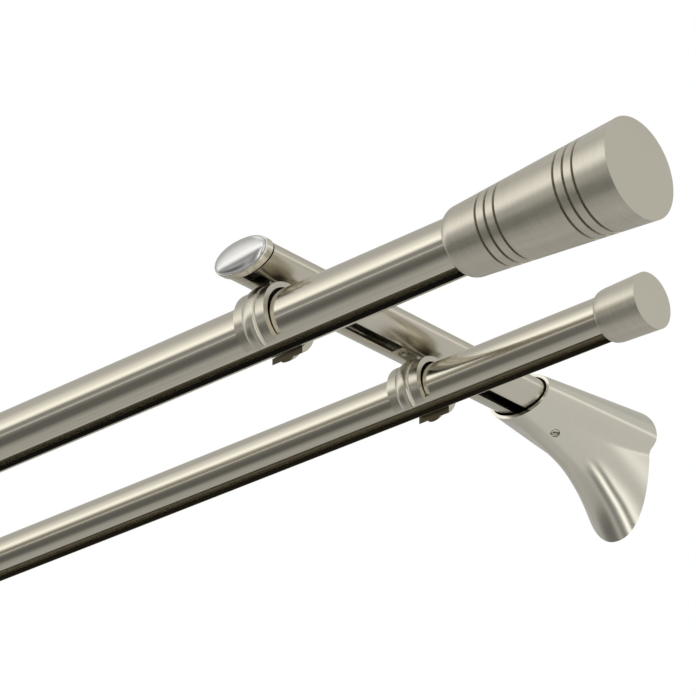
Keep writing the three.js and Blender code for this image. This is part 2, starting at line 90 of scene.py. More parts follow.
class Side(Enum):
    """One of the two ends of the set. The sign points outwards along X."""

    RIGHT = ("right", 1)
    LEFT = ("left", -1)

    @property
    def label(self) -> str:
        """The ending that the nodes on this side have in their names."""
        return self.value[0]

    @property
    def sign(self) -> int:
        """+1 on the right and -1 on the left."""
        return self.value[1]

    def node(self, stem: str) -> str:
        """A node's full name on this side."""
        return f"{stem}_{self.label}"


# ---- shader maths
class Wire:
    """A number leaving a shader node. Arithmetic on it adds the Math nodes."""

    def __init__(self, shop: "Shader", socket: bpy.types.NodeSocket) -> None:
        """Wraps a socket of one shader's node tree."""
        self.shop = shop
        self.socket = socket

    def _maths(self, operation: str, *values: "Wire | float") -> "Wire":
        """Adds one Math node.

        Args:
            operation: The Math node's operation.
            values: Its inputs, in order.

        Returns:
            The node's result.
        """
        return self.shop.node("ShaderNodeMath", {"operation": operation}, dict(enumerate(values)))

    def __add__(self, other: "Wire | float") -> "Wire":
        """Sum."""
        return self._maths("ADD", self, other)

    __radd__ = __add__

    def __sub__(self, other: "Wire | float") -> "Wire":
        """Difference."""
        return self._maths("SUBTRACT", self, other)

    def __rsub__(self, other: "Wire | float") -> "Wire":
        """Difference from a number."""
        return self._maths("SUBTRACT", other, self)

    def __mul__(self, other: "Wire | float") -> "Wire":
        """Product."""
        return self._maths("MULTIPLY", self, other)

    __rmul__ = __mul__


class Shader:
    """A material's or a world's node tree, being wired."""

    def __init__(self, tree: bpy.types.NodeTree) -> None:
        """Starts from an empty tree."""
        self.tree = tree
        tree.nodes.clear()

    def node(self, kind: str, settings: dict | None = None, inputs: dict | None = None,
             output: int | str = 0) -> Wire:
        """Adds one node.

        Args:
            kind: Blender's name for the node's type.
            settings: Its options. A ramp's stops are given as "stops".
            inputs: Values or wires for its sockets, by name or number.
            output: The socket that is returned.

        Returns:
            The chosen output.
        """
        node = self.tree.nodes.new(kind)
        for name, value in (settings or {}).items():
            if name == "stops":
                self._stops(node.color_ramp.elements, value)
            else:
                setattr(node, name, value)
        for key, value in (inputs or {}).items():
            if isinstance(value, Wire):
                self.tree.links.new(value.socket, node.inputs[key])
            else:
                node.inputs[key].default_value = value
        return Wire(self, node.outputs[output]) if node.outputs else Wire(self, None)

    @staticmethod
    def _stops(elements: bpy.types.bpy_prop_collection, stops: Sequence[tuple]) -> None:
        """Sets a ramp's stops, each a place and a colour."""
        while len(elements) < len(stops):
            elements.new(0.5)
        for element, (place, colour) in zip(elements, stops):
            element.position = place
            element.color = colour

    def place(self, scale: Triple) -> Wire:
        """The point on the piece in the frame, stretched for a grain."""
        point = self.node("ShaderNodeTexCoord", output="Object")
        return self.node("ShaderNodeMapping", None, {"Vector": point, "Scale": scale})

    def grain(self, scale: Triple, detail: float = 2.0) -> Wire:
        """Smooth noise from 0 to 1 with the given number of cells per metre on each axis."""
        return self.node("ShaderNodeTexNoise", None,
                         {"Vector": self.place(scale), "Scale": 1.0, "Detail": detail}, "Fac")

    def blend(self, share: Wire, low: tuple, high: tuple) -> Wire:
        """A colour between two others."""
        return self.node("ShaderNodeMix", {"data_type": "RGBA"}, {0: share, 6: low, 7: high}, 2)


def warm(glow: float) -> Colour:
    """The faintly warm white of a studio panel, at half its brightness so that it stays under 1."""
    return (0.5 * glow, 0.495 * glow, 0.47 * glow, 1.0)


def rgba(red: float, green: float, blue: float) -> Colour:
    """An opaque colour."""
    return (red, green, blue, 1.0)


# ---- finishes
@dataclass(frozen=True)
class MetalFinish:
    """A metal surface with a grain, slow smudges and a fine relief.

    The colour runs from dark to light with the grain and the smudges, which are given in cells
    per metre on each axis. Roughness goes up and down by its spread. Relief is how strongly the
    grain stands out, and relief_depth is how deep it is in metres.
    """

    name: str
    slot: str
    dark: Triple
    light: Triple
    grain: Triple
    roughness: float
    roughness_spread: float
    relief: float
    relief_depth: float = 0.04 * MM
    smudge: Triple = (35.0, 60.0, 60.0)
    metallic: float = 1.0
    fine_cells: float = 2.7
    coarse_share: float = 0.65
    grain_share: float = 0.6

    def material(self) -> bpy.types.Material:
        """The finish as a material, made once.

        Returns:
            The material with this finish's name.
        """
        made = bpy.data.materials.get(self.name)
        if made is not None:
            return made
        made = bpy.data.materials.new(self.name)
        made.use_nodes = True
        shop = Shader(made.node_tree)
        lines = shop.grain(self.grain)
        fine = shop.grain(tuple(self.fine_cells * cells for cells in self.grain), 1.0)
        clouds = shop.grain(self.smudge, 3.0)
        texture = self.coarse_share * lines + (1 - self.coarse_share) * fine
        share = self.grain_share * texture + (1 - self.grain_share) * clouds
        colour = shop.blend(share, rgba(*self.dark), rgba(*self.light))
        rough = self.roughness + self.roughness_spread * (texture + clouds - 1.0)
        bump = shop.node("ShaderNodeBump", None, {
            "Strength": self.relief, "Distance": self.relief_depth, "Height": texture})
        surface = shop.node("ShaderNodeBsdfPrincipled", None, {
            "Base Color": colour, "Metallic": self.metallic, "Roughness": rough, "Normal": bump})
        shop.node("ShaderNodeOutputMaterial", None, {"Surface": surface})
        return made


class Finishes:
    """The set's finishes. The bores' and the grooves' finishes are painted dark with shade."""

    DRAWN_NICKEL = MetalFinish(
        "drawn_nickel", "brushed_nickel", (0.51, 0.478, 0.405), (0.79, 0.755, 0.665),
        (5.0, 1300.0, 1300.0), 0.16, 0.07, 0.08, smudge=(3.0, 420.0, 420.0))
    DRAWN_ARM_NICKEL = MetalFinish(
        "drawn_arm_nickel", "brushed_nickel", (0.58, 0.55, 0.475), (0.68, 0.65, 0.575),
        (1400.0, 6.0, 1400.0), 0.24, 0.04, 0.03)
    TURNED_NICKEL = MetalFinish(
        "turned_nickel", "brushed_nickel", (0.44, 0.41, 0.35), (0.80, 0.765, 0.68),
        (1300.0, 60.0, 60.0), 0.33, 0.10, 0.05, smudge=(9.0, 360.0, 360.0))
    FACED_NICKEL = MetalFinish(
        "faced_nickel", "brushed_nickel", (0.59, 0.57, 0.50), (0.66, 0.64, 0.565),
        (900.0, 900.0, 900.0), 0.42, 0.05, 0.08)
    # Painted shade on the floors of the finial's grooves.
    GROOVE_NICKEL = MetalFinish(
        "groove_painted_shade", "brushed_nickel", (0.10, 0.085, 0.06), (0.18, 0.155, 0.115),
        (900.0, 900.0, 900.0), 0.38, 0.08, 0.06)
    SATIN_CASTING = MetalFinish(
        "cast_nickel", "satin_casting", (0.67, 0.645, 0.575), (0.77, 0.745, 0.675),
        (700.0, 700.0, 700.0), 0.21, 0.05, 0.02, smudge=(45.0, 45.0, 45.0))
    RING_NICKEL = MetalFinish(
        "ring_nickel", "satin_casting", (0.54, 0.51, 0.44), (0.66, 0.63, 0.555),
        (700.0, 700.0, 700.0), 0.26, 0.05, 0.03, smudge=(90.0, 90.0, 90.0))
    # The ring holders' bores and the legs' cut ends: unpolished, and painted much darker with shade.
    RING_BORE = MetalFinish(
        "ring_bore", "satin_casting", (0.16, 0.14, 0.10), (0.26, 0.23, 0.175),
        (500.0, 500.0, 500.0), 0.34, 0.08, 0.08)
    POLISHED_CHROME = MetalFinish(
        "domed_chrome", "polished_chrome", (0.62, 0.62, 0.635), (0.72, 0.72, 0.735),
        (500.0, 500.0, 500.0), 0.22, 0.04, 0.02)
    # Near black painted shade for the insides of the front rod and the arms, the front rod's turned-in
    # lips and the cap's recess behind its rim.
    DARK_BORE = MetalFinish(
        "dark_bore", "brushed_nickel", (0.008, 0.008, 0.007), (0.022, 0.020, 0.016),
        (20.0, 900.0, 900.0), 0.60, 0.10, 0.10, metallic=0.4)
    # Dark brown painted shade for the inside and the turned-in lips of the rear rod.
    BROWN_BORE = MetalFinish(
        "brown_bore_painted_shade", "brushed_nickel", (0.026, 0.021, 0.012), (0.052, 0.042, 0.025),
        (20.0, 900.0, 900.0), 0.55, 0.10, 0.10, metallic=0.5)
    ZINC_PLATE = MetalFinish(
        "zinc_coat", "zinc_plate", (0.42, 0.43, 0.44), (0.60, 0.60, 0.60), (260.0, 260.0, 260.0),
        0.42, 0.12, 0.12)
    SCREW_STEEL = MetalFinish(
        "turned_screw_steel", "screw_steel", (0.66, 0.64, 0.59), (0.86, 0.84, 0.78),
        (900.0, 900.0, 900.0), 0.24, 0.08, 0.08)


# ---- modelling
class Workpiece:
    """One mesh, shaped with Blender's own operators as on a bench."""

    def __init__(self, name: str) -> None:
        """Takes the object that was just added and puts its place into its mesh."""
        self.object = bpy.context.object
        self.object.name = name
        bpy.ops.object.transform_apply(location=True, rotation=True, scale=True)
        bpy.ops.object.mode_set(mode="EDIT")
        bpy.ops.mesh.select_mode(type="VERT")
        bpy.ops.mesh.select_all(action="SELECT")

    @classmethod
    def disc(cls, name: str, axis: Axis, centre: Vector, radii: Triple, sides: int,
             filled: bool = True) -> "Workpiece":
        """Starts a piece from a flat circle or oval, left selected in edit mode.

        Args:
            name: The piece's name.
            axis: The direction that the circle is square to.
            centre: Its centre.
            radii: Its half-sizes across the axis, with 1 along it.
            sides: Its number of corners.
            filled: Whether it has a face.

        Returns:
            The new workpiece.
        """
        bpy.ops.object.select_all(action="DESELECT")
        bpy.ops.mesh.primitive_circle_add(vertices=sides, radius=1.0, location=centre,
                                          rotation=axis.tilt, fill_type="NGON" if filled else "NOTHING")
        piece = cls(name)
        piece.resize(radii, centre)
        return piece

    @classmethod
    def block(cls, name: str, low: Sequence[float], high: Sequence[float]) -> "Workpiece":
        """Makes a whole rectangular block between two corners."""
        bpy.ops.object.select_all(action="DESELECT")
        middle = (Vector(low) + Vector(high)) / 2
        bpy.ops.mesh.primitive_cube_add(size=1.0, location=middle, scale=Vector(high) - Vector(low))
        piece = cls(name)
        piece.tidy()
        return piece

    def extrude(self, offset: Vector) -> None:
        """Draws out what is selected."""
        bpy.ops.mesh.extrude_region_move(TRANSFORM_OT_translate={"value": offset})

    def resize(self, factors: Sequence[float], centre: Vector) -> None:
        """Scales what is selected about a point."""
        bpy.ops.transform.resize(value=factors, center_override=centre)

    def select(self, chosen: Callable[[Vector], bool]) -> None:
        """Selects the corners whose places pass a test, with the edges and faces between them."""
        bpy.ops.mesh.select_all(action="DESELECT")
        mesh = bmesh.from_edit_mesh(self.object.data)
        for vertex in mesh.verts:
            vertex.select = chosen(vertex.co)
        mesh.select_flush_mode()
        bmesh.update_edit_mesh(self.object.data)

    def turn(self, axis: Axis, origin: Vector, path: Sequence[Station], sign: int = 1) -> None:
        """Extrudes and scales the selected circle through a row of stations, as a lathe profile.

        Args:
            axis: The axis of the turned shape.
            origin: The point on the axis that stations are counted from.
            path: Stations with their radii. The first is where the circle already is.
            sign: +1 to count stations along the axis and -1 against it.
        """
        place, radius = path[0]
        for station, next_radius in path[1:]:
            self.extrude(axis.unit * (station - place) * sign)
            if abs(next_radius - radius) > 1e-9:
                self.resize(axis.across(next_radius / radius), origin + axis.unit * station * sign)
            place, radius = station, next_radius

    def tidy(self) -> None:
        """Merges doubles, turns faces outwards and leaves edit mode."""
        bpy.ops.mesh.select_all(action="SELECT")
        bpy.ops.mesh.remove_doubles(threshold=1e-6)
        bpy.ops.mesh.normals_make_consistent(inside=False)
        bpy.ops.object.mode_set(mode="OBJECT")

    def modify(self, kind: str, **settings: object) -> None:
        """Adds one modifier and applies it."""
        bpy.ops.object.select_all(action="DESELECT")
        self.object.select_set(True)
        bpy.context.view_layer.objects.active = self.object
        modifier = self.object.modifiers.new(kind.lower(), kind)
        for name, value in settings.items():
            setattr(modifier, name, value)
        bpy.ops.object.modifier_apply(modifier=modifier.name)

    def _combine(self, other: "Workpiece", operation: str) -> None:
        """Works another workpiece into this one and throws the other away."""
        self.modify("BOOLEAN", object=other.object, operation=operation, solver="EXACT")
        bpy.data.objects.remove(other.object)

    def join(self, other: "Workpiece") -> None:
        """Adds another workpiece to this one."""
        self._combine(other, "UNION")

    def cut(self, other: "Workpiece") -> None:
        """Cuts another workpiece away from this one."""
        self._combine(other, "DIFFERENCE")

    def drill(self, axis: Axis, start: Vector, radii: Triple, travel: float, sides: int) -> None:
        """Cuts a straight hole.

        Args:
            axis: The direction of the hole.
            start: The middle of the end that it starts from.
            radii: Its half-sizes across the axis, with 1 along it.
            travel: How far it goes along the axis, or against it if negative.
            sides: Its number of corners.
        """
        bit = Workpiece.disc("bit", axis, start, radii, sides)
        bit.extrude(axis.unit * travel)
        bit.tidy()
        self.cut(bit)

    def soften(self, width: float, segments: int = 2, angle: float = 38.0) -> None:
        """Rounds the sharp edges and shades the rest smooth."""
        self.modify("BEVEL", width=width, segments=segments, limit_method="ANGLE",
                    angle_limit=math.radians(angle), use_clamp_overlap=True)
        bpy.ops.object.shade_smooth_by_angle(angle=math.radians(angle))
        self.modify("WEIGHTED_NORMAL", keep_sharp=True, weight=60)

    def dress(self, *finishes: MetalFinish) -> None:
        """Gives the piece its finishes, one for each material slot."""
        chosen = [face.material_index for face in self.object.data.polygons]
        self.object.data.materials.clear()
        for finish in finishes:
            self.object.data.materials.append(finish.material())
        for face, number in zip(self.object.data.polygons, chosen):
            face.material_index = min(number, len(finishes) - 1)

    def fit(self, body: str, node: str, *finishes: MetalFinish) -> None:
        """Dresses the piece and hangs it on its body in place of its plain node."""
        self.dress(*finishes)
        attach(self.object, body)
        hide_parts(node)
        LOG.info("%s: %d faces on %s", self.object.name, len(self.object.data.polygons), body)


def box_middle(node: str) -> Vector:
    """The middle of a node's box."""
    low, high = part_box(node)
    return (low + high) / 2


def arc(centre: Station, radii: Station, start: float, stop: float, steps: int) -> list[Station]:
    """Points on a quarter or any other stretch of an ellipse.

    Args:
        centre: Station and radius of its centre.
        radii: Its half-sizes along the axis and across it.
        start: First angle in degrees, from the axis.
        stop: Last angle in degrees.
        steps: The number of stretches between points.

    Returns:
        The points from start to stop.
    """
    points = []
    for i in range(steps + 1):
        angle = math.radians(start + (stop - start) * i / steps)
        points.append((centre[0] + radii[0] * math.cos(angle), centre[1] + radii[1] * math.sin(angle)))
    return points


# ---- rods
@dataclass
class TrackRod:
    """A drawn tube, slotted below, whose edges turn in to make a glider track."""

    node: str
    radius: float
    slot: float
    axis: Axis = Axis.X
    half_height: float = 0.0
    wall: float = 1.2 * MM
    lip: float = 2.6 * MM
    lip_start: float = 0.5 * MM
    lip_share: float = 0.6
    edge_round: float = 0.3 * MM
    sides: int = 120
    # The inside's finish: a dark painted shade.
    bore: MetalFinish = Finishes.DARK_BORE

    def __post_init__(self) -> None:
        """Makes the tube round unless it has a height of its own."""
        self.half_height = self.half_height or self.radius

    def build(self) -> Workpiece:
        """Models the tube.

        Returns:
            The finished tube.
        """
        low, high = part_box(self.node)
        along, across = self.axis.value, 1 - self.axis.value
        centre = (low + high) / 2
        centre[along] = low[along]
        centre.z = high.z - self.half_height
        radii = self.axis.across(self.radius, self.half_height)
        piece = Workpiece.disc(f"{self.node}_tube", self.axis, centre, radii, self.sides, filled=False)
        half = self.slot / 2
        edge = centre.z - self.half_height * math.sqrt(1 - (half / self.radius) ** 2)
        piece.select(lambda p: p.z < centre.z and abs(p[across] - centre[across]) < half)
        bpy.ops.mesh.delete(type="VERT")
        self._square_up(piece, centre, edge)
        if self.lip:
            piece.extrude(Vector((0, 0, self.lip)))
        bpy.ops.mesh.select_all(action="SELECT")
        piece.extrude(self.axis.unit * (high[along] - low[along]))
        piece.tidy()
        self._face_out(piece)
        # The inner skin gets the second material, the bore's dark painted shade.
        piece.modify("SOLIDIFY", thickness=self.wall, offset=-1.0, use_even_offset=True,
                     material_offset=1)
        piece.soften(self.edge_round)
        if self.lip:
            self._line_track(piece, centre, edge)
        return piece

    def _square_up(self, piece: Workpiece, centre: Vector, edge: float) -> None:
        """Moves the two open ends of the outline to the slot's edges and selects them."""
        across = 1 - self.axis.value
        mesh = bmesh.from_edit_mesh(piece.object.data)
        for vertex in mesh.verts:
            vertex.select = len(vertex.link_edges) == 1
            if vertex.select:
                aside = math.copysign(self.slot / 2, vertex.co[across] - centre[across])
                vertex.co[across] = centre[across] + aside
                vertex.co.z = edge
        mesh.select_flush_mode()
        bmesh.update_edit_mesh(piece.object.data)

    def _line_track(self, piece: Workpiece, centre: Vector, edge: float) -> None:
        """Gives the turned-in lips the bore's painted shade, which is the second material."""
        reach = self.slot / 2 + self.lip_share * self.wall
        for face in piece.object.data.polygons:
            aside = abs(face.center.y - centre.y)
            if aside < reach and edge + self.lip_start < face.center.z < centre.z:
                face.material_index = 1

    @staticmethod
    def _face_out(piece: Workpiece) -> None:
        """Turns the sheet over if its faces look at the tube's own axis."""
        top = max(piece.object.data.polygons, key=lambda face: face.center.z)
        if top.normal.z < 0:
            bpy.ops.object.mode_set(mode="EDIT")
            bpy.ops.mesh.select_all(action="SELECT")
            bpy.ops.mesh.flip_normals()
            bpy.ops.object.mode_set(mode="OBJECT")


@dataclass
class BracketArm(TrackRod):
    """The flat oval tube between the wall foot and the room, with a plain slot for the holders."""

    node: str = "arm_right"
    radius: float = 15.0 * MM
    slot: float = 7.0 * MM
    axis: Axis = Axis.Y
    half_height: float = 7.5 * MM
    wall: float = 1.6 * MM
    lip: float = 0.0
    edge_round: float = 0.22 * MM


# ---- finials and end caps
@dataclass
class EndPiece:
    """A turned piece that slips over a rod's end: shoulder, cone, grooves and a faced end."""

    stem: str
    rod_radius: float
    collar_radius: float
    end_radius: float
    shoulder: float = 5.0 * MM
    lip: float = 0.4 * MM
    gap: float = 0.3 * MM
    depth: float = 20.3 * MM
    grooves: tuple[float, ...] = ()
    groove_width: float = 1.25 * MM
    groove_depth: float = 0.7 * MM
    groove_floor: float = 0.7
    groove_reach: float = 0.42
    shoulder_steps: int = 12
    edge_round: float = 0.16 * MM
    screw_station: float = 10.0 * MM
    screw_hole: float = 2.2 * MM
    sides: int = 128

    def profile(self, length: float) -> list[Station]:
        """The turned outline, from the bottom of the bore over the collar to the end face."""
        def cone(x: float) -> float:
            """The cone's radius at a station."""
            return self.collar_radius + (self.end_radius - self.collar_radius) * x / length

        bore = self.rod_radius + self.gap
        lip = bore + self.lip
        path = [(self.depth, bore), (0.0, bore), (0.0, lip)]
        rise = cone(self.shoulder) - lip
        path += [(self.shoulder - x, r) for x, r in
                 arc((0.0, lip), (self.shoulder, rise), 0.0, 90.0, self.shoulder_steps)][1:]
        half = self.groove_width / 2
        flat = self.groove_floor * half
        for x in self.grooves:
            floor = cone(x) - self.groove_depth
            path += [(x - half, cone(x - half)), (x - flat, floor), (x + flat, floor),
                     (x + half, cone(x + half))]
        path += [(length, self.end_radius)]
        return path

    def build(self, side: Side) -> Workpiece:
        """Models the piece on one side.

        Args:
            side: The end of the rod that it sits on.

        Returns:
            The finished piece.
        """
        node = side.node(self.stem)
        low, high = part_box(node)
        collar, end = (low.x, high.x) if side.sign > 0 else (high.x, low.x)
        origin = Vector((collar, (low.y + high.y) / 2, (low.z + high.z) / 2))
        path = self.profile(high.x - low.x)
        start = origin + Axis.X.unit * path[0][0] * side.sign
        piece = Workpiece.disc(f"{node}_body", Axis.X, start, Axis.X.across(path[0][1]), self.sides)
        piece.turn(Axis.X, origin, path, sign=side.sign)
        piece.tidy()
        screw_at = origin + Vector((side.sign * self.screw_station, self.rod_radius, 0))
        piece.drill(Axis.Y, screw_at, Axis.Y.across(self.screw_hole), self.end_radius, DRILL_SIDES)
        piece.soften(self.edge_round)
        self._mark_finishes(piece, collar, end)
        return piece

    def _mark_finishes(self, piece: Workpiece, collar: float, end: float) -> None:
        """Gives the flat end the second finish and the grooves' floors the third, a painted shade."""
        for face in piece.object.data.polygons:
            flat = abs(face.normal.x) > FLAT
            station = abs(face.center.x - collar)
            reach = self.groove_reach * self.groove_width
            if flat and abs(face.center.x - end) < NEAR:
                face.material_index = 1
            elif any(abs(station - x) < reach for x in self.grooves):
                face.material_index = 2


# ---- ring holders
@dataclass
class RingHolder:
    """An open ring that holds a rod, its neck, and the head that slides in the arm's slot."""

    stem: str
    rod_radius: float
    long_end: int
    opening: float = 16.0 * MM
    play: float = 0.8 * MM
    wall: float = 2.5 * MM
    width: float = 17.4 * MM
    band: float = 7.2 * MM
    proud: float = 1.1 * MM
    valley: float = 0.35 * MM
    band_arc: tuple[float, float, int] = (165.0, 15.0, 14)
    neck_half: float = 3.25 * MM
    head_half: float = 6.0 * MM
    head: float = 3.0 * MM
    reach_long: float = 16.3 * MM
    reach_short: float = 6.5 * MM
    block_below_arm: float = 0.3 * MM
    arm_gap: float = 0.9 * MM
    arm_height: float = 15.0 * MM
    neck_sunk: float = 1.5 * MM
    neck_overlap: float = 2.0 * MM
    screw_offset: float = 11.6 * MM
    screw_hole: float = 2.2 * MM
    drill_lead: float = 1.0 * MM
    drill_travel: float = 20.0 * MM
    edge_round: float = 0.3 * MM
    sides: int = 128

    @property
    def bore(self) -> float:
        """The ring's inner radius."""
        return self.rod_radius + self.play

    @property
    def outer(self) -> float:
        """The ring's outer radius beside its middle band."""
        return self.bore + self.wall

    def ring(self, name: str, centre: Vector) -> Workpiece:
        """Turns the closed ring with its rounded middle band between two valleys."""
        half = self.width / 2
        band = self.band / 2
        low = self.outer - self.valley
        path = [(-half, self.bore), (-half, self.outer), (-band - self.valley, self.outer),
                (-band, low)]
        path += arc((0.0, low), (band, self.proud + self.valley), *self.band_arc)
        path += [(band, low), (band + self.valley, self.outer), (half, self.outer),
                 (half, self.bore), (-half, self.bore)]
        piece = Workpiece.disc(name, Axis.X, centre + Axis.X.unit * path[0][0],
                               Axis.X.across(self.bore), self.sides, filled=False)
        piece.turn(Axis.X, centre, path)
        piece.tidy()
        return piece

    def build(self, side: Side) -> Workpiece:
        """Models the holder on one side.

        Args:
            side: The bracket that it hangs from.

        Returns:
            The finished holder.
        """
        node = side.node(self.stem)
        low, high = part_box(node)
        x, top = (low.x + high.x) / 2, high.z
        y = box_middle(self.stem.replace("holder", "rod")).y
        under_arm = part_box(side.node("arm"))[1].z - self.arm_height
        ring_z = under_arm - self.arm_gap - self.outer
        under = under_arm - self.block_below_arm

        def bar(half: float, ends: Sequence[float], bottom: float, upper: float) -> Workpiece:
            """A block in the middle of the ring's width."""
            return Workpiece.block("bar", (x - half, ends[0], bottom), (x + half, ends[1], upper))

        centre = Vector((x, y, ring_z))
        piece = self.ring(f"{node}_ring", centre)
        short, long = self.reach_short, self.reach_long
        ends = sorted((y + self.long_end * long, y - self.long_end * short))
        piece.join(bar(self.neck_half, (y - short, y + short), ring_z + self.outer - self.neck_sunk,
                       under + self.neck_overlap))
        piece.join(bar(self.neck_half, ends, under, top - self.head / 2))
        piece.join(bar(self.head_half, ends, top - self.head, top))
        half = self.opening / 2
        piece.cut(bar(self.width, (y - half, y + half), ring_z - 2 * self.outer, ring_z))
        screw_at = Vector((x, y + self.long_end * self.screw_offset, under - self.drill_lead))
        piece.drill(Axis.Z, screw_at, Axis.Z.across(self.screw_hole), self.drill_travel, DRILL_SIDES)
        piece.soften(self.edge_round)
        self._mark_bore(piece, centre)
        return piece

    def _mark_bore(self, piece: Workpiece, centre: Vector) -> None:
        """Gives the bore and the legs' cut ends the second finish: unpolished, and painted dark with
        shade.
        """
        for face in piece.object.data.polygons:
            aside = abs(face.center.y - centre.y)
            cut = abs(face.normal.y) > FACING and abs(aside - self.opening / 2) < NEAR
            across = math.hypot(aside, face.center.z - centre.z)
            inside = across < self.bore + NEAR / 2 and abs(face.normal.x) < EDGE_ON
            if face.center.z < centre.z + self.bore and (cut or inside):
                face.material_index = 1


# ---- the arm's cap
@dataclass
class ArmCap:
    """The satin oval cap on the arm's front end."""

    proud: float = 0.7 * MM
    length: float = 4.6 * MM
    plug_inset: float = 1.95 * MM
    plug_taper: float = 0.4 * MM
    plug_chamfer: float = 0.6 * MM
    rim: float = 0.5 * MM
    rim_ease: float = 0.1 * MM
    corner: float = 0.8 * MM
    corner_steps: int = 6
    back_corner: float = 0.2 * MM
    shadow_gap: float = 0.85 * MM
    shadow_depth: float = 1.1 * MM
    seat: float = 1.2 * MM
    half_width: float = 15.7 * MM
    half_height: float = 8.2 * MM
    edge_round: float = 0.1 * MM
    sides: int = 128

    def draw_out(self, node: str, ending: str, steps: Sequence[Triple]) -> Workpiece:
        """Extrudes and scales an oval through places along Y, from the back of a node's box.

        Args:
            node: The node that the piece stands for.
            ending: The ending of the piece's name.
            steps: Places along Y with half-width and half-height, from the back.

        Returns:
            The closed piece.
        """
        y, width, height = steps[0]
        centre = box_middle(node)
        centre.y = y
        piece = Workpiece.disc(f"{node}_{ending}", Axis.Y, centre, Axis.Y.across(width, height),
                               self.sides)
        for next_y, next_width, next_height in steps[1:]:
            piece.extrude(Vector((0, next_y - y, 0)))
            middle = Vector((centre.x, next_y, centre.z))
            piece.resize((next_width / width, 1.0, next_height / height), middle)
            y, width, height = next_y, next_width, next_height
        piece.tidy()
        piece.soften(self.edge_round)
        return piece

    def build(self, side: Side) -> Workpiece:
        """Models the cap on one side.

        Args:
            side: The bracket that it closes.

        Returns:
            The finished cap.
        """
        node = side.node("arm_cap")
        low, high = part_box(node)
        front, back = low.y, low.y + self.length
        lip = back - self.shadow_gap
        plug = self.proud + self.plug_inset
        insets = [(high.y, plug + self.plug_taper), (high.y - self.plug_chamfer, plug),
                  (back, plug), (back, self.shadow_depth), (lip, self.shadow_depth),
                  (lip, self.back_corner), (lip - self.back_corner, 0.0)]
        insets += arc((front + self.corner, self.corner), (-self.corner, -self.corner),
                      90.0, 0.0, self.corner_steps)
        insets += [(front + self.rim_ease, self.rim), (front + self.seat, self.rim)]
        piece = self.draw_out(node, "rim", [(y, self.half_width - inset, self.half_height - inset)
                                            for y, inset in insets])
        # The plug and the shadow recess behind the rim's lip get the second finish, a near black
        # painted shade.
        for face in piece.object.data.polygons:
            if lip - NEAR / 2 < face.center.y:
                face.material_index = 1
        return piece


@dataclass
class CapDisc(ArmCap):
    """The domed chrome oval in the arm's cap."""

    dome: float = 3.0 * MM
    dome_steps: int = 18
    edge_round: float = 0.08 * MM

    def build(self, side: Side) -> Workpiece:
        """Models the disc on one side.

        Args:
            side: The bracket that it is on.

        Returns:
            The finished disc.
        """
        node = side.node("cap_disc")
        low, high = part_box(node)
        w, h = (high.x - low.x) / 2, (high.z - low.z) / 2
        dome = arc((low.y + self.dome, 0.0), (-self.dome, 1.0), 90.0, 0.0, self.dome_steps)
        return self.draw_out(node, "dome", [(high.y, w, h), *((y, w * share, h * share)
                                                              for y, share in dome[:-1])])


